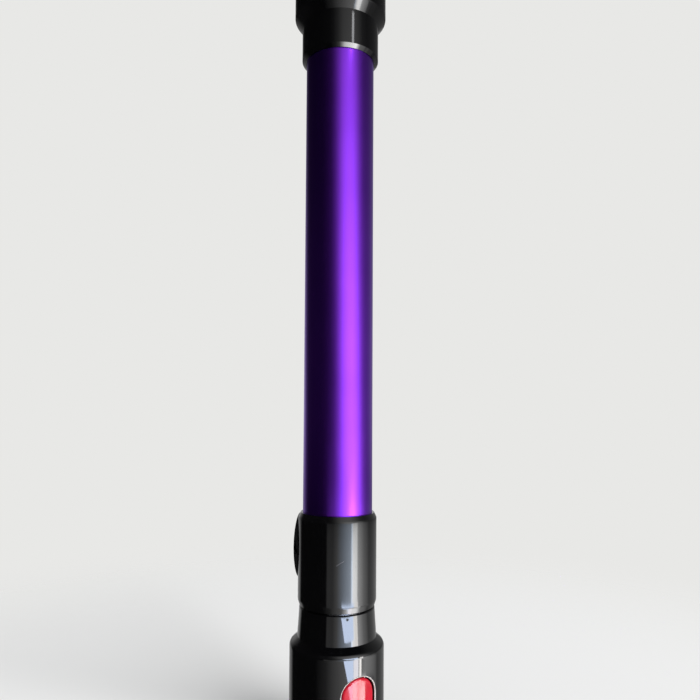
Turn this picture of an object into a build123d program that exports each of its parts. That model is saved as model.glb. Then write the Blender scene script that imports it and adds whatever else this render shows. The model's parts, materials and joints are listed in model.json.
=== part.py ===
from build123d import *
import math
import os

# Telescopic vacuum cleaner tube, pushed in and standing on its socket end.
# +Z runs up the tube, the origin is the centre of the socket's rim and the red
# button faces -Y. Lengths are in millimetres and angles in degrees.

# The two tubes
TUBE_D = 38.0              # outer tube, outside
TUBE_WALL = 0.9
TUBE_SHOWN = 251.5         # outer tube between its two black mouldings
TUBE_HOLD = 30.0           # outer tube bonded into the plug cuff
TUBE_GAP = 0.8             # radial room between the two tubes
INNER_WALL = 0.9
TRAVEL = 200.0             # how far the tube pulls out
END_GAP = 26.0             # from the inner tube's top to the outer tube's top

# Fits
GLUE_GAP = 0.05            # radial room where pieces are bonded or pressed
SLIDE_GAP = 0.08           # radial room of a guide on its tube
MOVE_GAP = 0.3             # room between pieces that move past each other
PIN_GAP = 0.04             # radial room of a pin in the piece that turns on it

# Socket cuff: collar, shoulder and tapered neck
SPIGOT_WALL = 2.6          # of the plug that the socket takes, and of the wand's own
SOCKET_GAP = 0.2           # radial room of a plug in the socket
SOCKET_DEPTH = 44.0
GUIDE_L = 32.0             # close-fitting stretch of the socket
RELIEF = 0.2               # radial relief behind that stretch
COLLAR_WALL = 6.4
COLLAR_CAP = 5.0           # from the inner tube's end up to the neck's foot
SHOULDER_DROP = 3.0        # how far the shoulder slopes down from the neck to the collar
COLLAR_EDGE = 3.5          # rounding of the shoulder's outer edge
RIM_EDGE = 1.0             # bevel and lead-in of the open rim
NECK_L = 16.1
NECK_WALL = 3.15           # at the neck's upper end
NECK_TAPER = 0.95          # how much wider the neck is at the shoulder, on radius
NECK_EDGE = 0.5            # bevel of the neck's upper end
NECK_ROOT = 0.5            # bevel in the corner between neck and shoulder
SEAL_H = 3.0
SEAL_LIP = 1.0             # depth and width of the groove that makes the seal's lip
FLANGE = 3.0               # between the seal and the inner tube's end

# Red release button
WINDOW_W = 19.4
WINDOW_L = 33.2
WINDOW_TOP = 13.9          # from the neck's foot down to the window
WINDOW_EDGE = 0.8          # rounding of the window's outer edge
POCKET_FLOOR = 1.0         # wall left between the pocket and the socket
BUTTON_GAP = 0.6           # round the button
BUTTON_SUNK = 0.9          # button's face below the collar's face
BUTTON_EDGE = 1.6
BUTTON_ANGLE = 4.5         # how far it rocks
BUTTON_PIN_R = 0.9
PIN_SEAT = 1.2             # pin's length in each side of the window
HOOK_W = 8.0
HOOK_L = 4.4
HOOK_REACH = 0.6           # past the socket's wall
HOOK_END = 4.0             # from the hook's catch to the end of the socket
LEAF_W = 6.0
LEAF_L = 10.0
LEAF_T = 0.25

# Lock sleeve on the outer tube
REST_GAP = 0.9             # between neck and sleeve when pushed in
SLEEVE_L = 49.4
SLEEVE_WALL = 2.4
LIP_L = 2.0                # inward lip at the sleeve's lower end
WIPER_L = 3.0
BUSH_L = 9.0
SLEEVE_FOOT = (3.0, 0.9)   # bevel at the lower end, along and across
SLEEVE_HEAD = (2.7, 1.3)   # bevel at the upper end, along and across
SLEEVE_EDGE = 2.0          # rounding where the two bevels meet the sleeve's side

# Lock: thumb slide, tooth and pin
LOCK_AT = -139.0           # round the tube from the red button
PAD_L = 35.6
PAD_W = 18.0
PAD_HEAD = 1.8             # from the sleeve's upper end to the pad
PAD_T = 2.2                # at its crest
PAD_END_T = 0.4
PAD_SKIN = 1.1
SLIDE = 6.0                # thumb slide's travel, down the sleeve
LIFT = 1.0                 # tooth's travel, outwards
RAIL_T = 1.5
RAIL_HEAD = 7.4            # from the pad's upper end to the rails' end
RAIL_L = 16.0
RAIL_IN = 0.4              # rails' inner edge clear of the tube
BRIDGE_T = 1.5             # wall that joins the rails' upper ends
TOOTH_W = 5.4
TOOTH_L = 4.0
TOOTH_FOOT = 1.0           # from the rails' lower end to the tooth
TOOTH_TOP = 2.5            # tooth's outer end, from the tube's face
TOOTH_GAP = 0.2            # round the tooth in the tube's window
TOOTH_PIN_R = 0.6
PIN_DEPTH = 1.6            # tooth pin's centre, from the tube's face
SPRING_W = 3.6             # zigzag spring, across and its strip
SPRING_DEEP = 1.6
SPRING_T = 0.3
SPRING_BENDS = 8

# Inner tube's pressed channel and guide ring
CHANNEL_W = 7.0
CHANNEL_DEPTH = 0.7
NOTCH_PITCH = 25.0
NOTCH_L = 9.0
NOTCH_W = 6.0
NOTCH_DEPTH = 0.4
GUIDE_RING_L = 12.0
GUIDE_RING_LIP = 2.0

# Plug cuff: neck, wide ring and spigot
PLUG_NECK_L = 20.6
PLUG_NECK_WALL = 2.5
PLUG_FOOT = (1.6, 2.0)     # bevel at the neck's lower end, along and across
RING_L = 26.0
RING_STEP = 4.2            # ring over neck, on radius
RING_CONE = 5.0            # length of the slope under the ring
RING_EDGE = 1.5
SPIGOT_LEAD = 1.2          # lead-in at the spigot's end
CATCH_GAP = 0.4            # round the hook in a plug's catch
CATCH_DEPTH = 1.2

# Radii from the axis
R_TUBE = TUBE_D / 2
R_TUBE_IN = R_TUBE - TUBE_WALL
R_INNER = R_TUBE_IN - TUBE_GAP
R_DUCT = R_INNER - INNER_WALL
R_SPIGOT = R_DUCT + SPIGOT_WALL
R_SOCKET = R_SPIGOT + SOCKET_GAP
R_RELIEF = R_SOCKET + RELIEF
R_COLLAR = R_SOCKET + COLLAR_WALL
R_NECK = R_INNER + GLUE_GAP + NECK_WALL
R_SLEEVE = R_TUBE + SLEEVE_WALL
R_PLUG_NECK = R_TUBE + PLUG_NECK_WALL
R_RING = R_PLUG_NECK + RING_STEP
R_POCKET = R_SOCKET + POCKET_FLOOR
R_BUTTON = R_COLLAR - BUTTON_SUNK
PRESS = (WINDOW_L / 2 - BUTTON_GAP) * math.sin(math.radians(BUTTON_ANGLE))
R_BUTTON_IN = R_POCKET + PRESS + MOVE_GAP
R_PAD_IN = R_SLEEVE + MOVE_GAP

# Heights above the rim, with the tube pushed in
Z_FLOOR = SOCKET_DEPTH + SEAL_H
Z_INNER = Z_FLOOR + FLANGE
Z_SHOULDER = Z_INNER + COLLAR_CAP
Z_COLLAR = Z_SHOULDER - SHOULDER_DROP
Z_NECK = Z_SHOULDER + NECK_L
Z_SLEEVE = Z_NECK + REST_GAP
Z_WIPER = Z_SLEEVE + LIP_L
Z_BUSH = Z_WIPER + WIPER_L
Z_TUBE = Z_BUSH + BUSH_L
Z_SLEEVE_TOP = Z_SLEEVE + SLEEVE_L
Z_PLUG = Z_SLEEVE_TOP + TUBE_SHOWN
Z_RING = Z_PLUG + PLUG_NECK_L
Z_TUBE_TOP = Z_PLUG + TUBE_HOLD
Z_STEP = Z_RING + RING_L
Z_TOP = Z_STEP + SOCKET_DEPTH
Z_INNER_TOP = Z_TUBE_TOP - END_GAP - GUIDE_RING_LIP
Z_BUTTON = Z_SHOULDER - WINDOW_TOP - WINDOW_L / 2
Z_CATCH = SOCKET_DEPTH - HOOK_END
Z_PAD_TOP = Z_SLEEVE_TOP - PAD_HEAD
Z_PAD = Z_PAD_TOP - PAD_L / 2
Z_RAIL_TOP = Z_PAD_TOP - RAIL_HEAD
Z_RAIL = Z_RAIL_TOP - RAIL_L
Z_TOOTH = Z_RAIL + TOOTH_FOOT + TOOTH_L / 2

# Depths from the axis of the lock's pieces, along the way that the lock faces
D_CHANNEL = R_INNER - CHANNEL_DEPTH
D_TOOTH_TIP = D_CHANNEL + MOVE_GAP
D_TOOTH_TOP = R_TUBE + TOOTH_TOP
D_TOOTH_PIN = R_TUBE + PIN_DEPTH
D_RAIL = R_TUBE + RAIL_IN
X_RAIL = TOOTH_W / 2 + MOVE_GAP
X_RAIL_OUT = X_RAIL + RAIL_T

FAR = 4 * R_RING           # longer than anything across the tube


def turned(*points):
    """A solid turned about Z from an outline of (radius, height) points."""
    outline = Plane.XZ * Polyline(*points, close=True)
    return revolve(make_face(outline), Axis.Z)


def ring(r_out, r_in, low, high):
    """A plain ring about Z."""
    return turned((r_in, low), (r_out, low), (r_out, high), (r_in, high))


def rod(radius, low, high):
    """A solid cylinder about Z."""
    return Pos(0, 0, low) * Cylinder(radius, high - low, align=(Align.CENTER, Align.CENTER, Align.MIN))


def block(width, depth_in, depth_out, low, high):
    """A box that faces -Y, between two depths from the axis and two heights."""
    middle = Pos(0, -(depth_in + depth_out) / 2, (low + high) / 2)
    return middle * Box(width, depth_out - depth_in, high - low)


def facing_prism(sketch, height):
    """A sketch on the -Y side, centred at a height and carried from the axis out through the wall."""
    front = Plane(origin=(0, 0, height), x_dir=(1, 0, 0), z_dir=(0, -1, 0))
    return extrude(front * sketch, amount=FAR)


def cross_pin(radius, length, depth, height):
    """A pin along X at a depth in front of the axis."""
    return Pos(0, -depth, height) * Rot(0, 90, 0) * Cylinder(radius, length)


def at_lock(piece):
    """Turns a piece that faces -Y round the tube to the lock's side."""
    return Rot(0, 0, LOCK_AT) * piece


def edges_at_radius(piece, radius):
    """The edges that lie on a cylinder of this radius about Z, seen at three points each."""
    def on_cylinder(edge):
        points = [edge.position_at(t) for t in (0.1, 0.5, 0.9)]
        return all(abs(math.hypot(p.X, p.Y) - radius) < 0.01 for p in points)
    return [edge for edge in piece.edges() if on_cylinder(edge)]


def edges_between(piece, radius, low, high):
    """The edges on a cylinder whose middles lie between two heights."""
    return [e for e in edges_at_radius(piece, radius) if low < e.position_at(0.5).Z < high]


# Inner tube with the channel that the tooth rides in, and a notch at each stop
def inner_tube():
    low = Z_TOOTH - 2 * NOTCH_L
    high = Z_TOOTH + TRAVEL + 2 * NOTCH_L
    rib = block(CHANNEL_W + 2 * INNER_WALL, D_CHANNEL - INNER_WALL, R_INNER, low, high)
    tube = ring(R_INNER, R_DUCT, Z_INNER, Z_INNER_TOP) + at_lock(rib & rod(R_INNER, low, high))
    tube -= at_lock(block(CHANNEL_W, D_CHANNEL, FAR, low + INNER_WALL, high - INNER_WALL))
    notch_count = int(TRAVEL // NOTCH_PITCH) + 1
    for stop in range(notch_count):
        height = Z_TOOTH + stop * NOTCH_PITCH
        notch = block(NOTCH_W, D_CHANNEL - NOTCH_DEPTH, FAR, height - NOTCH_L / 2, height + NOTCH_L / 2)
        tube -= at_lock(notch)
    return tube


# Ring that caps the inner tube's upper end and runs in the outer tube
def guide_ring():
    r_out = R_TUBE_IN - SLIDE_GAP
    low = Z_INNER_TOP - GUIDE_RING_L
    top = Z_INNER_TOP + GUIDE_RING_LIP
    r_tube = R_INNER + GLUE_GAP
    seat = Z_INNER_TOP + GLUE_GAP
    return turned((r_tube, low), (r_out, low), (r_out, top), (R_DUCT, top), (R_DUCT, seat), (r_tube, seat))


def window_sketch(inset):
    """The button's round-ended outline, drawn in by an inset."""
    return SlotOverall(WINDOW_L - 2 * inset, WINDOW_W - 2 * inset, rotation=90)


# Collar with the socket, the button's window and pocket, and the tapered neck
def socket_cuff():
    r_foot = R_NECK + NECK_TAPER
    cuff = turned(
        (R_SOCKET + RIM_EDGE, 0),
        (R_COLLAR - RIM_EDGE, 0),
        (R_COLLAR, RIM_EDGE),
        (R_COLLAR, Z_COLLAR),
        (r_foot + NECK_ROOT, Z_SHOULDER),
        (r_foot, Z_SHOULDER + NECK_ROOT),
        (R_NECK, Z_NECK - NECK_EDGE),
        (R_NECK - NECK_EDGE, Z_NECK),
        (R_INNER + GLUE_GAP, Z_NECK),
        (R_INNER + GLUE_GAP, Z_INNER),
        (R_DUCT, Z_INNER),
        (R_DUCT, Z_FLOOR),
        (R_RELIEF, Z_FLOOR),
        (R_RELIEF, GUIDE_L),
        (R_SOCKET, GUIDE_L),
        (R_SOCKET, RIM_EDGE),
    )
    cuff = fillet(edges_between(cuff, R_COLLAR, Z_COLLAR - 0.1, Z_COLLAR + 0.1), COLLAR_EDGE)
    cuff -= facing_prism(window_sketch(0), Z_BUTTON) - rod(R_POCKET, 0, Z_SHOULDER)
    rim = edges_between(cuff, R_COLLAR, RIM_EDGE + 0.1, Z_SHOULDER - WINDOW_TOP + 0.1)
    cuff = fillet(rim, WINDOW_EDGE)
    hook_hole = HOOK_W + 2 * MOVE_GAP
    cuff -= block(hook_hole, R_SOCKET - COLLAR_WALL / 2, R_BUTTON_IN, Z_CATCH - HOOK_L - 2 * MOVE_GAP,
                  Z_CATCH + 2 * MOVE_GAP)
    return cuff - button_pin()


def button_pin_depth():
    """The pin lies just clear of the pocket's floor, inside the button's thick sides."""
    return R_POCKET + MOVE_GAP + BUTTON_PIN_R


def button_pin():
    return cross_pin(BUTTON_PIN_R, WINDOW_W + 2 * PIN_SEAT, button_pin_depth(), Z_BUTTON)


# Red rocker: a curved plate on the pin, with a hook at its upper end
def release_button():
    plate = facing_prism(window_sketch(BUTTON_GAP), Z_BUTTON) & ring(R_BUTTON, R_BUTTON_IN, 0, Z_SHOULDER)
    plate = fillet(edges_at_radius(plate, R_BUTTON), BUTTON_EDGE)
    root = (R_BUTTON_IN + R_BUTTON) / 2
    tip = R_SOCKET - HOOK_REACH
    side = Plane.YZ * Polyline(
        (-root, Z_CATCH - HOOK_L),
        (-root, Z_CATCH),
        (-tip, Z_CATCH),
        (-tip, Z_CATCH - HOOK_L / 4),
        (-R_POCKET - MOVE_GAP, Z_CATCH - HOOK_L),
        close=True,
    )
    plate += extrude(make_face(side), amount=HOOK_W / 2, both=True)
    return plate - cross_pin(BUTTON_PIN_R + PIN_GAP, FAR, button_pin_depth(), Z_BUTTON)


# Bowed leaf between the pocket's floor and the rocker's lower half
def release_spring():
    foot = R_POCKET + MOVE_GAP
    crown = R_BUTTON_IN - MOVE_GAP
    low = Z_BUTTON - WINDOW_L / 2 + LEAF_L / 2
    middle = low + LEAF_L / 2
    high = low + LEAF_L
    inner = ThreePointArc((-foot, low), (-crown + LEAF_T, middle), (-foot, high))
    outer = ThreePointArc((-foot - LEAF_T, low), (-crown, middle), (-foot - LEAF_T, high))
    ends = [Line(inner @ 0, outer @ 0), Line(inner @ 1, outer @ 1)]
    return extrude(make_face(Plane.YZ * Curve([inner, outer, *ends])), amount=LEAF_W / 2, both=True)


# Rubber ring at the end of the socket, with a groove that leaves a lip
def socket_seal():
    low = SOCKET_DEPTH
    r_out = R_RELIEF - GLUE_GAP
    r_groove = (R_DUCT + r_out) / 2
    return turned(
        (R_DUCT, low),
        (r_groove - SEAL_LIP / 2, low),
        (r_groove, low + SEAL_LIP),
        (r_groove + SEAL_LIP / 2, low),
        (r_out, low),
        (r_out, Z_FLOOR),
        (R_DUCT, Z_FLOOR),
    )


# Violet tube with the tooth's window near its lower end
def outer_tube():
    tube = ring(R_TUBE, R_TUBE_IN, Z_TUBE, Z_TUBE_TOP)
    half = TOOTH_L / 2 + TOOTH_GAP
    window = block(TOOTH_W + 2 * TOOTH_GAP, R_INNER, FAR, Z_TOOTH - half, Z_TOOTH + half)
    return tube - at_lock(window)


# Upper moulding: neck over the tube, wide ring, and the spigot with its catch
def plug_cuff():
    along, across = PLUG_FOOT
    r_seat = R_TUBE + GLUE_GAP
    cuff = turned(
        (r_seat, Z_PLUG),
        (R_PLUG_NECK - across, Z_PLUG),
        (R_PLUG_NECK, Z_PLUG + along),
        (R_PLUG_NECK, Z_RING),
        (R_RING, Z_RING + RING_CONE),
        (R_RING, Z_STEP),
        (R_SPIGOT, Z_STEP),
        (R_SPIGOT, Z_TOP - SPIGOT_LEAD),
        (R_SPIGOT - SPIGOT_LEAD, Z_TOP),
        (R_DUCT, Z_TOP),
        (R_DUCT, Z_TUBE_TOP + GLUE_GAP),
        (r_seat, Z_TUBE_TOP + GLUE_GAP),
    )
    cuff = fillet(edges_between(cuff, R_RING, Z_RING, Z_TOP), RING_EDGE)
    high = Z_TOP - HOOK_END + CATCH_GAP
    low = high - HOOK_L - 2 * CATCH_GAP
    return cuff - block(HOOK_W + 2 * CATCH_GAP, R_SPIGOT - CATCH_DEPTH, FAR, low, high)


# Sleeve over the tube's lower end, open on the lock's side for the thumb slide
def lock_sleeve():
    r_seat = R_TUBE + GLUE_GAP
    r_lip = R_INNER + MOVE_GAP
    sleeve = turned(
        (r_lip, Z_SLEEVE),
        (R_SLEEVE - SLEEVE_FOOT[1], Z_SLEEVE),
        (R_SLEEVE, Z_SLEEVE + SLEEVE_FOOT[0]),
        (R_SLEEVE, Z_SLEEVE_TOP - SLEEVE_HEAD[0]),
        (R_SLEEVE - SLEEVE_HEAD[1], Z_SLEEVE_TOP),
        (r_seat, Z_SLEEVE_TOP),
        (r_seat, Z_WIPER),
        (r_lip, Z_WIPER),
    )
    sleeve = fillet(edges_at_radius(sleeve, R_SLEEVE), SLEEVE_EDGE)
    low = Z_RAIL - SLIDE - MOVE_GAP
    high = Z_RAIL_TOP + MOVE_GAP
    return sleeve - at_lock(block(2 * (X_RAIL_OUT + MOVE_GAP), R_INNER, FAR, low, high))


def wiper_ring():
    return ring(R_TUBE, R_INNER + SLIDE_GAP, Z_WIPER, Z_BUSH)


def slide_bush():
    return ring(R_TUBE, R_INNER + SLIDE_GAP, Z_BUSH, Z_TUBE)


def ramp_slot():
    """The slanted slot that lifts the tooth's pin as the thumb slide goes down."""
    start = Vector(-D_TOOTH_PIN, Z_TOOTH)
    end = Vector(-D_TOOTH_PIN - LIFT, Z_TOOTH + SLIDE)
    middle = (start + end) / 2
    slope = math.degrees(math.atan2(end.Y - start.Y, end.X - start.X))
    length = math.hypot(LIFT, SLIDE)
    slot = SlotCenterToCenter(length, 2 * (TOOTH_PIN_R + 2 * PIN_GAP), rotation=slope)
    return extrude(Plane.YZ * Pos(middle.X, middle.Y) * slot, amount=FAR, both=True)


# Thumb slide: a crowned oval pad outside the sleeve, with two ramped rails inside
def lock_button():
    r_crest = R_PAD_IN + PAD_T
    r_end = R_PAD_IN + PAD_END_T
    low = Z_PAD_TOP - PAD_L
    crown = ThreePointArc((r_end, Z_PAD_TOP), (r_crest, Z_PAD), (r_end, low))
    back = Polyline((r_end, low), (R_PAD_IN, low), (R_PAD_IN, Z_PAD_TOP), (r_end, Z_PAD_TOP))
    dome = revolve(make_face(Plane.XZ * Curve([crown, back])), Axis.Z)
    pad = facing_prism(Ellipse(PAD_W / 2, PAD_L / 2), Z_PAD) & dome
    ceiling = r_crest - PAD_SKIN
    pad -= block(2 * X_RAIL, R_SLEEVE, ceiling, Z_RAIL, Z_RAIL_TOP)
    rail = block(RAIL_T, D_RAIL, ceiling, Z_RAIL, Z_RAIL_TOP)
    offset = X_RAIL + RAIL_T / 2
    bridge = block(2 * X_RAIL, D_RAIL, ceiling, Z_RAIL_TOP - BRIDGE_T, Z_RAIL_TOP)
    slide = pad + Pos(offset, 0, 0) * rail + Pos(-offset, 0, 0) * rail + bridge
    return at_lock(slide - ramp_slot())


def lock_tooth():
    half = TOOTH_L / 2
    tooth = block(TOOTH_W, D_TOOTH_TIP, D_TOOTH_TOP, Z_TOOTH - half, Z_TOOTH + half)
    return at_lock(tooth - cross_pin(TOOTH_PIN_R + GLUE_GAP, FAR, D_TOOTH_PIN, Z_TOOTH))


def tooth_pin():
    return at_lock(cross_pin(TOOTH_PIN_R, 2 * X_RAIL_OUT, D_TOOTH_PIN, Z_TOOTH))


# Zigzag strip between the tooth and the bridge of the thumb slide
def lock_spring():
    low = Z_TOOTH + TOOTH_L / 2 + MOVE_GAP + SPRING_T
    high = Z_RAIL_TOP - BRIDGE_T - MOVE_GAP - SPRING_T
    step = (high - low) / SPRING_BENDS
    half = SPRING_W / 2 - SPRING_T
    zigzag = Polyline(*[(half * (-1) ** bend, low + bend * step) for bend in range(SPRING_BENDS + 1)])
    strip = extrude(Plane.XZ * trace(zigzag, SPRING_T), amount=SPRING_DEEP / 2, both=True)
    return at_lock(Pos(0, -D_TOOTH_PIN, 0) * strip)


PARTS = {
    "inner_tube": inner_tube,
    "guide_ring": guide_ring,
    "socket_cuff": socket_cuff,
    "socket_seal": socket_seal,
    "button_pin": button_pin,
    "release_spring": release_spring,
    "release_button": release_button,
    "outer_tube": outer_tube,
    "plug_cuff": plug_cuff,
    "lock_sleeve": lock_sleeve,
    "wiper_ring": wiper_ring,
    "slide_bush": slide_bush,
    "lock_button": lock_button,
    "lock_spring": lock_spring,
    "lock_tooth": lock_tooth,
    "tooth_pin": tooth_pin,
}

os.makedirs("parts", exist_ok=True)
for name, make in PARTS.items():
    export_step(make(), f"parts/{name}.step")
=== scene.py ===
import json
import math

import bpy
from mathutils import Euler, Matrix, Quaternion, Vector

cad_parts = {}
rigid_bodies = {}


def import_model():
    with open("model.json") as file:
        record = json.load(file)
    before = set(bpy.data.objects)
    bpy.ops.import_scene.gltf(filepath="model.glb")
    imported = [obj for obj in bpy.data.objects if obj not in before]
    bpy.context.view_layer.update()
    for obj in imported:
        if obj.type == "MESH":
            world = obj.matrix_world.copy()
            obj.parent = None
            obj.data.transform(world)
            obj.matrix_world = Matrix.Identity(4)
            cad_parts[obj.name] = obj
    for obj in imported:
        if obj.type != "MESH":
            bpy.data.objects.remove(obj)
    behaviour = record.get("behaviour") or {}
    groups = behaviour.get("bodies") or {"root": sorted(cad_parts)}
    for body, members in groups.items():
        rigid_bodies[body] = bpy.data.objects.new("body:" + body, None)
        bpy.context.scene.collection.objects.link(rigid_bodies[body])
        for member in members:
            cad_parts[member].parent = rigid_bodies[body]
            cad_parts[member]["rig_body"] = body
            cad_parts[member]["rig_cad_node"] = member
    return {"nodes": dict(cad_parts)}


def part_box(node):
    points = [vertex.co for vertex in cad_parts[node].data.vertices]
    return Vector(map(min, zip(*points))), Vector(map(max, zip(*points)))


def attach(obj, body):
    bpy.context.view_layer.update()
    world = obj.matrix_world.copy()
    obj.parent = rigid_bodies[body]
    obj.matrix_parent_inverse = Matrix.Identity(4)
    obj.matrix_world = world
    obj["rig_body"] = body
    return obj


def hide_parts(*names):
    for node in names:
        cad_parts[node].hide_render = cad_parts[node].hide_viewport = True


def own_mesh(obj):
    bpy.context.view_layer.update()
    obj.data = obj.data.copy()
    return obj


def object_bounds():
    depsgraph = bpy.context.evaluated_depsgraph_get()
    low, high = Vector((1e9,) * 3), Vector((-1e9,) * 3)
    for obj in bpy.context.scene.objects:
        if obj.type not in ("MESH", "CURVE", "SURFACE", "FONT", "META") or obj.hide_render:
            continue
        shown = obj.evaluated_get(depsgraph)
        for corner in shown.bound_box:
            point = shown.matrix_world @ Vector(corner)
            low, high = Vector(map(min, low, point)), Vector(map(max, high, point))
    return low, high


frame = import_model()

cad_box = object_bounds()
bpy.context.scene.view_settings.view_transform = "Standard"
bpy.ops.object.select_all(action="DESELECT")


# Inner tube: a thin drawn aluminium tube, bright anodised, with the lock's channel
# pressed into it. Running in the bush has rubbed faint lines along it.

def linear(hex_colour):
    """A linear RGBA colour from an sRGB hex value."""
    channels = [int(hex_colour[at:at + 2], 16) / 255 for at in (1, 3, 5)]
    return (*[c / 12.92 if c <= 0.04045 else ((c + 0.055) / 1.055) ** 2.4 for c in channels], 1.0)


def per_metre(size_mm):
    """A texture's scale for a feature of this size in millimetres."""
    return 1000.0 / size_mm


def add(tree, kind, inputs=None, stops=(), **settings):
    """Adds a shader node with its settings and colour stops, and fills or links its inputs."""
    made = tree.nodes.new("ShaderNode" + kind)
    for name, value in settings.items():
        setattr(made, name, value)
    for count, (position, colour) in enumerate(stops):
        elements = made.color_ramp.elements
        if count in (0, len(stops) - 1):
            element = elements[-1 if count else 0]
        else:
            element = elements.new(position)
        element.position = position
        element.color = colour
    for name, value in (inputs or {}).items():
        if isinstance(value, bpy.types.NodeSocket):
            tree.links.new(value, made.inputs[name])
        else:
            made.inputs[name].default_value = value
    return made


def new_material(name):
    """An empty node material, its tree and its Object coordinates."""
    material = bpy.data.materials.new(name)
    material.use_nodes = True
    tree = material.node_tree
    tree.nodes.clear()
    return material, tree, add(tree, "TexCoord").outputs["Object"]


def finish_nodes(material, *names):
    """Gives CAD nodes their finish."""
    for name in names:
        mesh = frame["nodes"][name].data
        mesh.materials.clear()
        mesh.materials.append(material)


def bright_anodised_aluminium():
    """Mirror-like metal with faint lines along the draw, so highlights are long and a little streaky."""
    # Real draw lines are finer: they are drawn this coarse so that they show
    line_mm, drawn_out = 0.9, 0.015
    material, tree, place = new_material("bright_anodised_aluminium")
    along = add(tree, "Mapping", {"Vector": place, "Scale": (1, 1, drawn_out)})
    lines = add(tree, "TexNoise", {
        "Vector": along.outputs["Vector"], "Scale": per_metre(line_mm), "Detail": 4})
    tint = add(tree, "ValToRGB", {"Fac": lines.outputs["Fac"]},
               stops=[(0.35, linear("#b9bbc0")), (0.7, linear("#d2d4d8"))])
    gloss = add(tree, "MapRange", {"Value": lines.outputs["Fac"], "To Min": 0.16, "To Max": 0.28})
    ridges = add(tree, "Bump", {"Height": lines.outputs["Fac"], "Strength": 0.05, "Distance": 0.0002})
    shader = add(tree, "BsdfPrincipled", {
        "Base Color": tint.outputs["Color"], "Metallic": 1.0, "Roughness": gloss.outputs["Result"],
        "Normal": ridges.outputs["Normal"]})
    add(tree, "OutputMaterial", {"Surface": shader.outputs["BSDF"]})
    return material


finish_nodes(bright_anodised_aluminium(), "inner_tube")


# Guide ring and slide bush: plain rings turned from natural acetal, a hard, waxy,
# slightly see-through white plastic. One is fixed to each tube and runs on the other,
# which keeps the two in line.

def natural_acetal():
    """Milky plastic with soft gloss and faint turning lines round the ring."""
    # The turning lines are drawn coarser than a lathe leaves them, so that they show
    turning_mm, cloud_mm = 1.381, 6
    wave_at_scale_one = math.tau / 20
    material, tree, place = new_material("natural_acetal")
    turning = add(tree, "TexWave", {
        "Vector": place, "Scale": per_metre(turning_mm) * wave_at_scale_one, "Distortion": 0.4},
        wave_type="BANDS", bands_direction="Z")
    cloud = add(tree, "TexNoise", {"Vector": place, "Scale": per_metre(cloud_mm), "Detail": 3})
    tint = add(tree, "ValToRGB", {"Fac": cloud.outputs["Fac"]},
               stops=[(0.0, linear("#dcd8cc")), (1.0, linear("#efece3"))])
    lines = add(tree, "Bump", {"Height": turning.outputs["Fac"], "Strength": 0.1, "Distance": 0.0001})
    shader = add(tree, "BsdfPrincipled", {
        "Base Color": tint.outputs["Color"], "Roughness": 0.42, "IOR": 1.48, "Subsurface Weight": 0.15,
        "Subsurface Scale": 0.002, "Normal": lines.outputs["Normal"]})
    add(tree, "OutputMaterial", {"Surface": shader.outputs["BSDF"]})
    return material


finish_nodes(natural_acetal(), "guide_ring", "slide_bush")


# Socket cuff: one moulding in polished black ABS, with the collar, the shoulder, the
# tapered neck that is bonded to the inner tube, and the window for the red button.
# A pale line painted round the window's rim stands in for the highlight on its rounded edge, and a spot of
# dirt has dried on the neck.

# A colour mix's sockets go by number, because its other kinds share their names
FACTOR, COLOUR_A, COLOUR_B, MIXED = 0, 6, 7, 2


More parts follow.
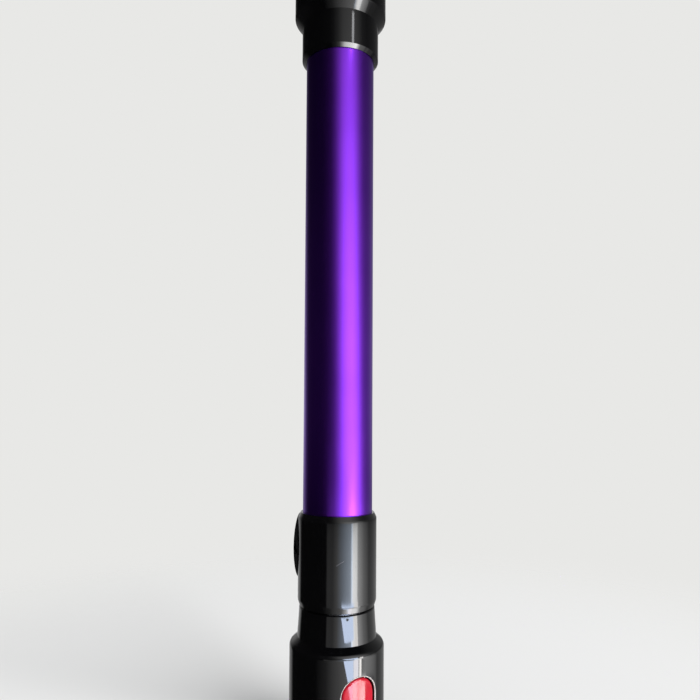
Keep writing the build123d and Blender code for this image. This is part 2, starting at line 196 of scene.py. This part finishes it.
def polished_black_abs(name, roughness, scratch_share, marks):
    """Deep black gloss. Hairlines, dust, a faint waviness and the marks passed in break up its reflections: a
    scratch on the sleeve, and on the cuff a painted highlight round the window and a dirt spot.
    """
    wave_mm, haze_mm, hair_mm, dust_mm = 9, 14, 0.7, 3.5
    hair_turn, hair_drawn_out = (0.5, 0.3, 0.9), 0.03
    hair_start, hair_full = 0.7 - scratch_share, 0.74 - scratch_share
    speck_edge, speck_core = 0.035, 0.02
    smoother_by, duller_by = 0.025, 0.035
    fleck_dulling, mark_dulling = 0.12, 0.7
    material, tree, place = new_material(name)
    waves = add(tree, "TexNoise", {"Vector": place, "Scale": per_metre(wave_mm), "Detail": 1})
    haze = add(tree, "TexNoise", {
        "Vector": place, "Scale": per_metre(haze_mm), "Detail": 5, "Roughness": 0.6})
    slanted = add(tree, "Mapping", {
        "Vector": place, "Rotation": hair_turn, "Scale": (1, hair_drawn_out, 1)})
    hairs = add(tree, "TexNoise", {
        "Vector": slanted.outputs["Vector"], "Scale": per_metre(hair_mm), "Detail": 2})
    lines = add(tree, "MapRange", {
        "Value": hairs.outputs["Fac"], "From Min": hair_start, "From Max": hair_full})
    dust = add(tree, "TexVoronoi", {"Vector": place, "Scale": per_metre(dust_mm), "Randomness": 1.0})
    specks = add(tree, "MapRange", {
        "Value": dust.outputs["Distance"], "From Min": speck_edge, "From Max": speck_core})
    flecks = add(tree, "Math", {0: lines.outputs["Result"], 1: specks.outputs["Result"]}, operation="MAXIMUM")
    marked, mark_colour = marks(tree, place)
    dusty = add(tree, "Mix", {
        FACTOR: flecks.outputs["Value"], COLOUR_A: linear("#060607"), COLOUR_B: linear("#1a1a1d")},
        data_type="RGBA")
    # The marks' colour goes in here; on the cuff the pale rim round the button's window is a painted
    # highlight, the rest is dirt or a scratch
    tint = add(tree, "Mix", {
        FACTOR: marked, COLOUR_A: dusty.outputs[MIXED], COLOUR_B: mark_colour}, data_type="RGBA")
    clean_gloss = add(tree, "MapRange", {
        "Value": haze.outputs["Fac"], "From Min": 0.3, "From Max": 0.7,
        "To Min": roughness - smoother_by, "To Max": roughness + duller_by})
    flecked_gloss = add(tree, "Math", {
        0: flecks.outputs["Value"], 1: fleck_dulling, 2: clean_gloss.outputs["Result"]},
        operation="MULTIPLY_ADD")
    gloss = add(tree, "Math", {
        0: marked, 1: mark_dulling, 2: flecked_gloss.outputs["Value"]}, operation="MULTIPLY_ADD")
    peel = add(tree, "Bump", {"Height": waves.outputs["Fac"], "Strength": 0.06, "Distance": 0.0004})
    shader = add(tree, "BsdfPrincipled", {
        "Base Color": tint.outputs[MIXED], "Roughness": gloss.outputs["Value"], "IOR": 1.52,
        "Normal": peel.outputs["Normal"]})
    add(tree, "OutputMaterial", {"Surface": shader.outputs["BSDF"]})
    return material


def painted_rim_highlight_and_spot(tree, place):
    """A painted highlight as a pale line round the window, following the button's outline and a gap, and a
    dull dirt spot on the neck.
    """
    button_low, button_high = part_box("release_button")
    window_gap = 0.0006
    window_middle = (button_low.z + button_high.z) / 2
    half_width = button_high.x + window_gap
    half_straight = (button_high.z - button_low.z) / 2 + window_gap - half_width
    rim_outside, rim_edge, rim_core = 0.0004, 0.00036, 0.00014
    collar_front = -0.0225
    spot_centre, spot_edge, spot_core = (-0.0048, -0.0200, 0.0691), 0.0008, 0.0005
    away = add(tree, "VectorMath", {0: place, 1: spot_centre}, operation="DISTANCE")
    spot = add(tree, "MapRange", {
        "Value": away.outputs["Value"], "From Min": spot_edge, "From Max": spot_core})
    spread = add(tree, "SeparateXYZ", {"Vector": place})
    above = add(tree, "Math", {0: spread.outputs["Z"], 1: window_middle}, operation="SUBTRACT")
    from_middle = add(tree, "Math", {0: above.outputs["Value"]}, operation="ABSOLUTE")
    past = add(tree, "Math", {0: from_middle.outputs["Value"], 1: half_straight}, operation="SUBTRACT")
    in_arc = add(tree, "Math", {0: past.outputs["Value"], 1: 0.0}, operation="MAXIMUM")
    flat = add(tree, "CombineXYZ", {"X": spread.outputs["X"], "Y": in_arc.outputs["Value"]})
    from_core = add(tree, "VectorMath", {0: flat.outputs["Vector"]}, operation="LENGTH")
    off_rim = add(tree, "Math", {
        0: from_core.outputs["Value"], 1: half_width + rim_outside}, operation="SUBTRACT")
    near_rim = add(tree, "Math", {0: off_rim.outputs["Value"]}, operation="ABSOLUTE")
    line = add(tree, "MapRange", {
        "Value": near_rim.outputs["Value"], "From Min": rim_edge, "From Max": rim_core})
    front = add(tree, "Math", {0: spread.outputs["Y"], 1: collar_front}, operation="LESS_THAN")
    rim = add(tree, "Math", {0: line.outputs["Result"], 1: front.outputs["Value"]}, operation="MULTIPLY")
    marked = add(tree, "Math", {0: spot.outputs["Result"], 1: rim.outputs["Value"]}, operation="MAXIMUM")
    # Pale on the rim is a painted highlight for the light on the window's rounded edge; the dirt spot keeps
    # the dark colour
    colour = add(tree, "Mix", {
        FACTOR: rim.outputs["Value"], COLOUR_A: linear("#101216"), COLOUR_B: linear("#cfc9c4")},
        data_type="RGBA")
    return marked.outputs["Value"], colour.outputs[MIXED]


# On the cuff, the pale line round the button's window is a painted highlight and the spot on the neck is dirt
black_abs = polished_black_abs(
    "polished_black_abs", roughness=0.06, scratch_share=0.0, marks=painted_rim_highlight_and_spot)
finish_nodes(black_abs, "socket_cuff")


# Socket seal: a soft ring of moulded nitrile rubber glued to the end of the socket,
# with a groove that leaves a lip for the plug to press on.

def nitrile_rubber():
    """Matt near-black with a dusty bloom in patches."""
    # The grain is drawn coarser than the mould's own, so that it shows
    bloom_mm, grain_mm = 3, 0.4
    material, tree, place = new_material("nitrile_rubber")
    bloom = add(tree, "TexNoise", {
        "Vector": place, "Scale": per_metre(bloom_mm), "Detail": 6, "Roughness": 0.65})
    tint = add(tree, "ValToRGB", {"Fac": bloom.outputs["Fac"]},
               stops=[(0.0, linear("#17171a")), (1.0, linear("#333336"))])
    grain = add(tree, "TexNoise", {"Vector": place, "Scale": per_metre(grain_mm), "Detail": 2})
    skin = add(tree, "Bump", {"Height": grain.outputs["Fac"], "Strength": 0.25, "Distance": 0.0001})
    shader = add(tree, "BsdfPrincipled", {
        "Base Color": tint.outputs["Color"], "Roughness": 0.82, "IOR": 1.52,
        "Normal": skin.outputs["Normal"]})
    add(tree, "OutputMaterial", {"Surface": shader.outputs["BSDF"]})
    return material


finish_nodes(nitrile_rubber(), "socket_seal")


# Pins and the lock's tooth: ground spring steel, pressed or snapped into place. The
# tooth rides in the inner tube's channel on its own cross pin.

def ground_steel():
    """Grey metal with fine grinding lines, so it is bright along one way and dull across."""
    # Real grinding lines are finer: they are drawn this coarse so that they show
    line_mm, drawn_out = 0.3, 0.05
    material, tree, place = new_material("ground_steel")
    ground = add(tree, "Mapping", {"Vector": place, "Scale": (drawn_out, 1, 1)})
    lines = add(tree, "TexNoise", {
        "Vector": ground.outputs["Vector"], "Scale": per_metre(line_mm), "Detail": 3})
    tint = add(tree, "ValToRGB", {"Fac": lines.outputs["Fac"]},
               stops=[(0.0, linear("#85868a")), (1.0, linear("#c6c7ca"))])
    gloss = add(tree, "MapRange", {"Value": lines.outputs["Fac"], "To Min": 0.22, "To Max": 0.4})
    cuts = add(tree, "Bump", {"Height": lines.outputs["Fac"], "Strength": 0.15, "Distance": 0.00005})
    shader = add(tree, "BsdfPrincipled", {
        "Base Color": tint.outputs["Color"], "Metallic": 1.0, "Roughness": gloss.outputs["Result"],
        "Normal": cuts.outputs["Normal"]})
    add(tree, "OutputMaterial", {"Surface": shader.outputs["BSDF"]})
    return material


steel = ground_steel()
finish_nodes(steel, "button_pin", "lock_tooth", "tooth_pin")


# Release spring: a bowed leaf of spring steel between the pocket's floor and the red
# button. It flattens against the floor as the button is pressed.

def springing_copy(node, body):
    """A spring in place of its solid, merged into one skin and shaded smooth, that moves with the body it is
    attached to.
    """
    merge_distance, smooth_under = 0.00001, math.radians(30)
    spring = frame["nodes"][node].copy()
    spring.data = frame["nodes"][node].data.copy()
    spring.name = node + "_flexing"
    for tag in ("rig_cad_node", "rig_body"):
        del spring[tag]
    spring.parent = None
    bpy.context.scene.collection.objects.link(spring)
    bpy.ops.object.select_all(action="DESELECT")
    spring.select_set(True)
    bpy.context.view_layer.objects.active = spring
    bpy.ops.object.mode_set(mode="EDIT")
    bpy.ops.mesh.select_all(action="SELECT")
    bpy.ops.mesh.remove_doubles(threshold=merge_distance)
    bpy.ops.object.mode_set(mode="OBJECT")
    bpy.ops.object.shade_smooth_by_angle(angle=smooth_under)
    spring.select_set(False)
    spring.data.materials.clear()
    spring.data.materials.append(steel)
    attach(spring, body)
    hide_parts(node)
    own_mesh(spring)


springing_copy("release_spring", "lower_wand")


# Red release button: a rocker in polished red ABS on a steel pin, sunk a little into
# its window. Pressing its lower half lifts the hook out of the plug.

def polished_red_abs():
    """Clear strong red under a glossy skin, with faint cloudiness and a little waviness."""
    cloud_mm, wave_mm = 8, 5
    material, tree, place = new_material("polished_red_abs")
    cloud = add(tree, "TexNoise", {"Vector": place, "Scale": per_metre(cloud_mm), "Detail": 4})
    tint = add(tree, "ValToRGB", {"Fac": cloud.outputs["Fac"]},
               stops=[(0.3, linear("#bb1226")), (0.7, linear("#d01a33"))])
    waves = add(tree, "TexNoise", {"Vector": place, "Scale": per_metre(wave_mm), "Detail": 1})
    peel = add(tree, "Bump", {"Height": waves.outputs["Fac"], "Strength": 0.05, "Distance": 0.0003})
    gloss = add(tree, "MapRange", {"Value": cloud.outputs["Fac"], "To Min": 0.1, "To Max": 0.16})
    shader = add(tree, "BsdfPrincipled", {
        "Base Color": tint.outputs["Color"], "Roughness": gloss.outputs["Result"], "IOR": 1.42,
        "Normal": peel.outputs["Normal"]})
    add(tree, "OutputMaterial", {"Surface": shader.outputs["BSDF"]})
    return material


finish_nodes(polished_red_abs(), "release_button")


# Outer tube: drawn aluminium, etched to a satin skin and dyed violet in the anodising
# bath. It is bonded into the plug cuff above and the lock sleeve below.

def violet_anodised_aluminium():
    """Coloured satin metal. The etch spreads highlights into a broad band, the draw leaves faint lines."""
    # Draw lines and etch are drawn coarser than they are, so that they show
    line_mm, drawn_out, line_share = 1.1, 0.012, 0.25
    bath_mm, etch_mm = 45, 0.5
    material, tree, place = new_material("violet_anodised_aluminium")
    along = add(tree, "Mapping", {"Vector": place, "Scale": (1, 1, drawn_out)})
    lines = add(tree, "TexNoise", {
        "Vector": along.outputs["Vector"], "Scale": per_metre(line_mm), "Detail": 4})
    bath = add(tree, "TexNoise", {"Vector": place, "Scale": per_metre(bath_mm), "Detail": 2})
    shade = add(tree, "Math", {
        0: lines.outputs["Fac"], 1: line_share, 2: bath.outputs["Fac"]}, operation="MULTIPLY_ADD")
    tint = add(tree, "ValToRGB", {"Fac": shade.outputs["Value"]},
               stops=[(0.4, linear("#8029de")), (0.85, linear("#8c31ec"))])
    etch = add(tree, "TexNoise", {"Vector": place, "Scale": per_metre(etch_mm), "Detail": 3})
    skin = add(tree, "Bump", {"Height": etch.outputs["Fac"], "Strength": 0.05, "Distance": 0.0001})
    gloss = add(tree, "MapRange", {
        "Value": lines.outputs["Fac"], "From Min": 0.3, "From Max": 0.7, "To Min": 0.275, "To Max": 0.29})
    shader = add(tree, "BsdfPrincipled", {
        "Base Color": tint.outputs["Color"], "Metallic": 1.0, "Roughness": gloss.outputs["Result"],
        "Coat Weight": 0.45, "Coat Roughness": 0.3, "Normal": skin.outputs["Normal"]})
    add(tree, "OutputMaterial", {"Surface": shader.outputs["BSDF"]})
    return material


finish_nodes(violet_anodised_aluminium(), "outer_tube")


# Plug cuff: the upper moulding in the same polished black ABS, with the neck over the
# tube, the wide ring to hold it by, and the spigot that plugs into the cleaner.

finish_nodes(black_abs, "plug_cuff")


# Lock sleeve: the black moulding on the tube's lower end, bonded to it. It has been
# handled more than the rest, so it carries more hairlines and one long scratch.

def long_scratch(tree, place):
    """One pale, slightly bowed scratch across the sleeve's front, rising to the right."""
    azimuth, slope = math.radians(-24.3), math.radians(29)
    above_foot = 0.0261
    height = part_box("lock_sleeve")[0].z + above_foot
    bow_per_metre = 37.0
    width_edge, width_core = 0.0002, 0.00005
    length_edge, length_core = 0.0028, 0.0016
    ahead = add(tree, "Mapping", {
        "Vector": place, "Rotation": (0, 0, -azimuth), "Location": (0, 0, -height)})
    level = add(tree, "Mapping", {"Vector": ahead.outputs["Vector"], "Rotation": (0, slope, 0)})
    spread = add(tree, "SeparateXYZ", {"Vector": level.outputs["Vector"]})
    along, depth, across = spread.outputs["X"], spread.outputs["Y"], spread.outputs["Z"]
    square = add(tree, "Math", {0: along, 1: along}, operation="MULTIPLY")
    bowed = add(tree, "Math", {
        0: square.outputs["Value"], 1: bow_per_metre, 2: across}, operation="MULTIPLY_ADD")
    off_line = add(tree, "Math", {0: bowed.outputs["Value"]}, operation="ABSOLUTE")
    off_middle = add(tree, "Math", {0: along}, operation="ABSOLUTE")
    thin = add(tree, "MapRange", {
        "Value": off_line.outputs["Value"], "From Min": width_edge, "From Max": width_core})
    short = add(tree, "MapRange", {
        "Value": off_middle.outputs["Value"], "From Min": length_edge, "From Max": length_core})
    front = add(tree, "Math", {0: depth, 1: 0.0}, operation="LESS_THAN")
    streak = add(tree, "Math", {0: thin.outputs["Result"], 1: short.outputs["Result"]}, operation="MULTIPLY")
    marked = add(tree, "Math", {0: streak.outputs["Value"], 1: front.outputs["Value"]}, operation="MULTIPLY")
    return marked.outputs["Value"], linear("#626266")


handled_abs = polished_black_abs(
    "handled_black_abs", roughness=0.1, scratch_share=0.01, marks=long_scratch)
finish_nodes(handled_abs, "lock_sleeve")


# Wiper ring: a strip of grey wool felt closed into a ring below the bush, which wipes
# dust off the inner tube as it slides.

def wool_felt():
    """Matt matted fibres with a soft edge."""
    # Single fibres are too fine to show, so these are clumps of them
    fibre_mm = 0.6
    material, tree, place = new_material("wool_felt")
    fibres = add(tree, "TexNoise", {
        "Vector": place, "Scale": per_metre(fibre_mm), "Detail": 6, "Roughness": 0.75})
    tint = add(tree, "ValToRGB", {"Fac": fibres.outputs["Fac"]},
               stops=[(0.3, linear("#55555a")), (0.7, linear("#94949a"))])
    nap = add(tree, "Bump", {"Height": fibres.outputs["Fac"], "Strength": 0.6, "Distance": 0.0003})
    shader = add(tree, "BsdfPrincipled", {
        "Base Color": tint.outputs["Color"], "Roughness": 0.95, "Sheen Weight": 0.4, "Sheen Roughness": 0.5,
        "Normal": nap.outputs["Normal"]})
    add(tree, "OutputMaterial", {"Surface": shader.outputs["BSDF"]})
    return material


finish_nodes(wool_felt(), "wiper_ring")


# Thumb slide of the lock: a crowned pad in black nylon, moulded with a fine spark
# texture for grip. It slides on the sleeve and is returned by a zigzag strip spring,
# which folds up against its seat in the sleeve.

def grained_black_nylon():
    """Soft black with a fine even grain, so it has a broad dull sheen."""
    # The spark grain is drawn coarser than it is, so that it shows
    grain_mm, rub_mm = 0.45, 10
    material, tree, place = new_material("grained_black_nylon")
    grain = add(tree, "TexNoise", {"Vector": place, "Scale": per_metre(grain_mm), "Detail": 2})
    rub = add(tree, "TexNoise", {"Vector": place, "Scale": per_metre(rub_mm), "Detail": 4})
    tint = add(tree, "ValToRGB", {"Fac": rub.outputs["Fac"]},
               stops=[(0.35, linear("#0c0c0d")), (0.7, linear("#161618"))])
    gloss = add(tree, "MapRange", {"Value": rub.outputs["Fac"], "To Min": 0.36, "To Max": 0.5})
    skin = add(tree, "Bump", {"Height": grain.outputs["Fac"], "Strength": 0.2, "Distance": 0.00012})
    shader = add(tree, "BsdfPrincipled", {
        "Base Color": tint.outputs["Color"], "Roughness": gloss.outputs["Result"], "IOR": 1.53,
        "Normal": skin.outputs["Normal"]})
    add(tree, "OutputMaterial", {"Surface": shader.outputs["BSDF"]})
    return material


finish_nodes(grained_black_nylon(), "lock_button")
springing_copy("lock_spring", "lock_button")


# Studio: a pale floor that fades into a pale surround, so there is no horizon. The
# floor takes the wand's soft shadow.

BACKDROP = linear("#e8e8e6")
FLOOR_SOLID, FLOOR_GONE = 0.20, 0.55

world = bpy.data.worlds.new("pale_surround")
bpy.context.scene.world = world
world.use_nodes = True
sky = world.node_tree
sky.nodes.clear()
path = add(sky, "LightPath")
seen = add(sky, "Math", {
    0: path.outputs["Is Camera Ray"], 1: path.outputs["Is Glossy Ray"]}, operation="MAXIMUM")
shown = add(sky, "Math", {
    0: seen.outputs["Value"], 1: path.outputs["Is Transmission Ray"]}, operation="MAXIMUM")
soft_light = add(sky, "Background", {"Color": linear("#f4f5f8"), "Strength": 0.62})
backdrop = add(sky, "Background", {"Color": BACKDROP, "Strength": 1.0})
both = add(sky, "MixShader", {
    0: shown.outputs["Value"], 1: soft_light.outputs["Background"], 2: backdrop.outputs["Background"]})
add(sky, "OutputWorld", {"Surface": both.outputs["Shader"]})


def matt_floor_paint():
    """Plain pale paint that thins out to nothing towards the rim, so that no edge shows."""
    material, tree, place = new_material("pale_floor")
    reach = add(tree, "VectorMath", {0: place}, operation="LENGTH")
    fade = add(tree, "MapRange", {
        "Value": reach.outputs["Value"], "From Min": FLOOR_SOLID, "From Max": FLOOR_GONE},
        interpolation_type="SMOOTHSTEP")
    paint = add(tree, "BsdfDiffuse", {"Color": BACKDROP})
    nothing = add(tree, "BsdfTransparent")
    thinned = add(tree, "MixShader", {
        0: fade.outputs["Result"], 1: paint.outputs["BSDF"], 2: nothing.outputs["BSDF"]})
    add(tree, "OutputMaterial", {"Surface": thinned.outputs["Shader"]})
    return material


bpy.ops.mesh.primitive_circle_add(vertices=96, radius=FLOOR_GONE, fill_type="NGON")
floor = bpy.context.object
floor.name = "floor"
floor.visible_glossy = False
floor.data.materials.append(matt_floor_paint())


# Lamps: a soft key from the front right lights the colours. Cards that only reflections
# see give the gloss its bands: a can of light and dark round the wand, and panes near it.

VIEW_AZIMUTH = math.radians(-28.87)
KEY_AZIMUTH = VIEW_AZIMUTH + math.radians(50)
KEY_DISTANCE, KEY_HEIGHT = 4.6, 3.6


def facing(azimuth, distance, height):
    """A point at an azimuth round the wand, where zero is straight in front of the button."""
    return (distance * math.sin(azimuth), -distance * math.cos(azimuth), height)


key_data = bpy.data.lights.new("soft_key", "AREA")
key_data.shape = "RECTANGLE"
key_data.size = 3.6
key_data.size_y = 4.6
key_data.energy = 315
key = bpy.data.objects.new("soft_key", key_data)
bpy.context.scene.collection.objects.link(key)
key.location = facing(KEY_AZIMUTH, KEY_DISTANCE, KEY_HEIGHT)
wand_middle = (cad_box[0] + cad_box[1]) / 2
key.rotation_euler = (key.location - wand_middle).to_track_quat("Z", "Y").to_euler()
key.visible_camera = False
key.visible_glossy = False

CAN_RADIUS, CAN_LOW, CAN_HIGH = 0.6, -0.45, 0.98
# Heights between which one part of the can passes into the next
LOW_TO_MIDDLE = (-0.15, -0.11)
MIDDLE_TO_HIGH = (0.012, 0.03)
# Degrees to the right of the camera, and the level of light there
HIGH_BANDS = [
    (-180, 0.3), (-145, 0.2), (-120, 0.012), (-40, 0.008), (-12, 0.025), (0, 0.08), (13, 0.3),
    (30, 0.84), (48, 1.05), (60, 0.98), (88, 0.17), (105, 0.08), (165, 0.12), (180, 0.3),
]
MIDDLE_BANDS = [
    (-180, 0.9), (-165, 0.5), (-140, 0.5), (-128, 0.01), (-31, 0.01), (-28, 0.42), (-12, 0.42),
    (0, 0.95), (15, 2.5), (40, 5.6), (42, 17.0), (46, 14.5), (58, 12.5), (61, 5.0), (82, 1.7),
    (103, 0.4), (165, 0.4), (180, 0.9),
]
LOW_BANDS = [
    (-180, 0.8), (-165, 0.4), (-140, 0.4), (-128, 0.01), (-50, 0.01), (-25, 0.22), (0, 0.9),
    (60, 2.7), (72, 3.2), (84, 2.4), (112, 0.35), (165, 0.35), (180, 0.8),
]
# A bright bar and a dark one beside it, as shares of the low part's level
BAR_BANDS = [
    (-180, 1.0), (53, 1.0), (55, 5.8), (72, 5.2), (74.5, 0.1), (96, 0.1), (104, 1.0), (180, 1.0),
]
MIDDLE_BLUISH_AT = (15, 40, 42)
BLUISH, NEUTRAL = (0.82, 0.94, 1.12), (1.0, 1.0, 1.0)


def reflected_only(card):
    """Leaves a card to reflections alone, so that it neither shows nor lights the scene."""
    card.visible_camera = False
    card.visible_diffuse = False
    card.visible_shadow = False
    card.visible_transmission = False


def banded(tree, share, bands, bluish_at=()):
    """Levels of light round the wand, over a share of the full turn, bluish at some of the degrees."""
    stops = []
    for degrees, level in bands:
        tone = BLUISH if degrees in bluish_at else NEUTRAL
        stops.append((0.5 + degrees / 360, (*[level * part for part in tone], 1.0)))
    return add(tree, "ValToRGB", {"Fac": share}, stops).outputs["Color"]


def light_and_dark():
    """Glowing bands in three parts, one above the other."""
    lean_per_metre, high_level = 28, 3.3
    high_foot, high_foot_share = (0.03, 0.17), 0.4
    dim_spot, dim_core, dim_edge = facing(VIEW_AZIMUTH + math.radians(46), CAN_RADIUS, 0.035), 0.03, 0.11
    middle_heights, middle_shares = (-0.06, 0.03), (1.1, 0.75)
    patch, patch_core, patch_edge = facing(VIEW_AZIMUTH + math.radians(61), 0.31, CAN_LOW), 0.19, 0.32
    patch_share = 6.0
    bar_top, bar_foot = (-0.187, -0.199), (-0.28, -0.24)
    material, tree, place = new_material("room_card")
    turned = add(tree, "Mapping", {"Vector": place, "Rotation": (0, 0, -VIEW_AZIMUTH)})
    spread = add(tree, "SeparateXYZ", {"Vector": turned.outputs["Vector"]})
    height = spread.outputs["Z"]
    ahead = add(tree, "Math", {0: spread.outputs["Y"], 1: -1.0}, operation="MULTIPLY")
    angle = add(tree, "Math", {0: spread.outputs["X"], 1: ahead.outputs["Value"]}, operation="ARCTAN2")
    share = add(tree, "MapRange", {
        "Value": angle.outputs["Value"], "From Min": -math.pi, "From Max": math.pi}).outputs["Result"]

    # The high part leans to the left as it goes up, and is dim at its top and its foot
    leaning = add(tree, "Math", {0: height, 1: lean_per_metre / 360, 2: share}, operation="MULTIPLY_ADD")
    to_top = add(tree, "MapRange", {
        "Value": height, "From Min": 0, "From Max": CAN_HIGH, "To Min": high_level, "To Max": 0.0})
    from_foot = add(tree, "MapRange", {
        "Value": height, "From Min": high_foot[0], "From Max": high_foot[1], "To Min": high_foot_share})
    upright = add(tree, "Math", {
        0: to_top.outputs["Result"], 1: from_foot.outputs["Result"]}, operation="MULTIPLY")
    # A dark spot at its foot keeps the violet tube's highlight even down to the sleeve
    from_spot = add(tree, "VectorMath", {0: place, 1: dim_spot}, operation="DISTANCE")
    undimmed = add(tree, "MapRange", {
        "Value": from_spot.outputs["Value"], "From Min": dim_core, "From Max": dim_edge})
    strength = add(tree, "Math", {
        0: upright.outputs["Value"], 1: undimmed.outputs["Result"]}, operation="MULTIPLY")
    high = add(tree, "Mix", {
        FACTOR: 1.0, COLOUR_A: banded(tree, leaning.outputs["Value"], HIGH_BANDS),
        COLOUR_B: strength.outputs["Value"]}, data_type="RGBA", blend_type="MULTIPLY")

    # The middle part, which the sleeve mirrors, grows dimmer upwards
    upwards = add(tree, "MapRange", {
        "Value": height, "From Min": middle_heights[0], "From Max": middle_heights[1],
        "To Min": middle_shares[0], "To Max": middle_shares[1]})
    middle = add(tree, "Mix", {
        FACTOR: 1.0, COLOUR_A: banded(tree, share, MIDDLE_BANDS, MIDDLE_BLUISH_AT),
        COLOUR_B: upwards.outputs["Result"]}, data_type="RGBA", blend_type="MULTIPLY")

    # The low part has a lit patch on the can's floor, at the right
    from_patch = add(tree, "VectorMath", {0: place, 1: patch}, operation="DISTANCE")
    lit = add(tree, "MapRange", {
        "Value": from_patch.outputs["Value"], "From Min": patch_core, "From Max": patch_edge,
        "To Min": patch_share, "To Max": 1.0})
    plain_low = add(tree, "Mix", {
        FACTOR: 1.0, COLOUR_A: banded(tree, share, LOW_BANDS), COLOUR_B: lit.outputs["Result"]},
        data_type="RGBA", blend_type="MULTIPLY")
    # The bars, which the red button mirrors, cross it at one height
    barred = add(tree, "Mix", {
        FACTOR: 1.0, COLOUR_A: plain_low.outputs[MIXED], COLOUR_B: banded(tree, share, BAR_BANDS)},
        data_type="RGBA", blend_type="MULTIPLY")
    under_top = add(tree, "MapRange", {"Value": height, "From Min": bar_top[0], "From Max": bar_top[1]})
    over_foot = add(tree, "MapRange", {"Value": height, "From Min": bar_foot[0], "From Max": bar_foot[1]})
    at_bars = add(tree, "Math", {
        0: under_top.outputs["Result"], 1: over_foot.outputs["Result"]}, operation="MULTIPLY")
    low = add(tree, "Mix", {
        FACTOR: at_bars.outputs["Value"], COLOUR_A: plain_low.outputs[MIXED],
        COLOUR_B: barred.outputs[MIXED]}, data_type="RGBA")

    over_middle = add(tree, "MapRange", {
        "Value": height, "From Min": MIDDLE_TO_HIGH[0], "From Max": MIDDLE_TO_HIGH[1]})
    upper = add(tree, "Mix", {
        FACTOR: over_middle.outputs["Result"], COLOUR_A: middle.outputs[MIXED],
        COLOUR_B: high.outputs[MIXED]}, data_type="RGBA")
    over_low = add(tree, "MapRange", {
        "Value": height, "From Min": LOW_TO_MIDDLE[0], "From Max": LOW_TO_MIDDLE[1]})
    whole = add(tree, "Mix", {
        FACTOR: over_low.outputs["Result"], COLOUR_A: low.outputs[MIXED],
        COLOUR_B: upper.outputs[MIXED]}, data_type="RGBA")
    glow = add(tree, "Emission", {"Color": whole.outputs[MIXED]})
    add(tree, "OutputMaterial", {"Surface": glow.outputs["Emission"]})
    return material


bpy.ops.mesh.primitive_cylinder_add(vertices=180, radius=CAN_RADIUS, depth=CAN_HIGH - CAN_LOW,
                                    location=(0, 0, (CAN_LOW + CAN_HIGH) / 2))
can = bpy.context.object
can.name = "room_card"
bpy.ops.object.transform_apply(location=True, rotation=True, scale=True)
can.data.materials.append(light_and_dark())
reflected_only(can)

PALE_BLUE, COOL_WHITE = linear("#d0dffa"), linear("#f4f5f8")
LILAC_WHITE, WARM_WHITE = linear("#eceaf0"), linear("#f6f3f0")


def pane(name, degrees, distance, width, low, high, colour, level, cut=0.0):
    """A small glowing card near the wand, some degrees to the right of the camera. A cut narrows its foot."""
    bpy.ops.mesh.primitive_plane_add(size=1)
    card = bpy.context.object
    card.name = name
    for corner in card.data.vertices:
        foot = corner.co.y < 0
        left = corner.co.x < 0
        corner.co.x = corner.co.x * width + (cut if foot and left else 0.0)
        corner.co.y = low if foot else high
    azimuth = VIEW_AZIMUTH + math.radians(degrees)
    card.rotation_euler = (math.pi / 2, 0, azimuth)
    card.location = facing(azimuth, distance, 0)
    bpy.ops.object.transform_apply(location=True, rotation=True, scale=True)
    material, tree = new_material(name)[:2]
    glow = add(tree, "Emission", {"Color": colour, "Strength": level})
    add(tree, "OutputMaterial", {"Surface": glow.outputs["Emission"]})
    card.data.materials.append(material)
    reflected_only(card)


# Degrees to the right, distance from the axis, width, lowest and highest height, colour and level
pane("neck_pane", 27.1, 0.078, 0.0444, 0.0455, 0.0595, PALE_BLUE, 18.5, cut=0.0116)
pane("neck_edge_pane", 51.2, 0.083, 0.011, 0.0400, 0.0595, WARM_WHITE, 15.0)
pane("collar_pane", 22.7, 0.082, 0.0334, 0.0030, 0.0330, PALE_BLUE, 18.5, cut=0.0293)
pane("collar_middle_pane", 39.9, 0.082, 0.0161, -0.0020, 0.0330, LILAC_WHITE, 19.0)
pane("collar_edge_pane", 49.6, 0.082, 0.0072, 0.0160, 0.0330, WARM_WHITE, 20.0)
pane("gap_pane", 33.0, 0.081, 0.008, 0.408, 0.430, COOL_WHITE, 7.0)


# Camera: at the height of the tube's lower half, close in, with the red button turned
# a little to the right. Both ends of the wand run out of the picture.

CAMERA_DISTANCE, CAMERA_HEIGHT = 0.3605, 0.1768
CAMERA_PITCH, CAMERA_ROLL = math.radians(3.03), math.radians(0.354)
FOCAL_PIXELS, FRAME_PIXELS = 650.0, 700.0
CENTRE_PIXELS = (338.3, 375.9)

camera_data = bpy.data.cameras.new("camera")
camera_data.sensor_width = 36.0
camera_data.lens = FOCAL_PIXELS / FRAME_PIXELS * camera_data.sensor_width
camera_data.shift_x = 0.5 - CENTRE_PIXELS[0] / FRAME_PIXELS
camera_data.shift_y = CENTRE_PIXELS[1] / FRAME_PIXELS - 0.5
camera_data.clip_start = 0.01
camera = bpy.data.objects.new("camera", camera_data)
bpy.context.scene.collection.objects.link(camera)
camera.location = facing(VIEW_AZIMUTH, CAMERA_DISTANCE, CAMERA_HEIGHT)
upright_turn = Euler((math.pi / 2 + CAMERA_PITCH, 0, VIEW_AZIMUTH)).to_quaternion()
camera.rotation_mode = "QUATERNION"
camera.rotation_quaternion = upright_turn @ Quaternion((0, 0, 1), CAMERA_ROLL)
bpy.context.scene.camera = camera
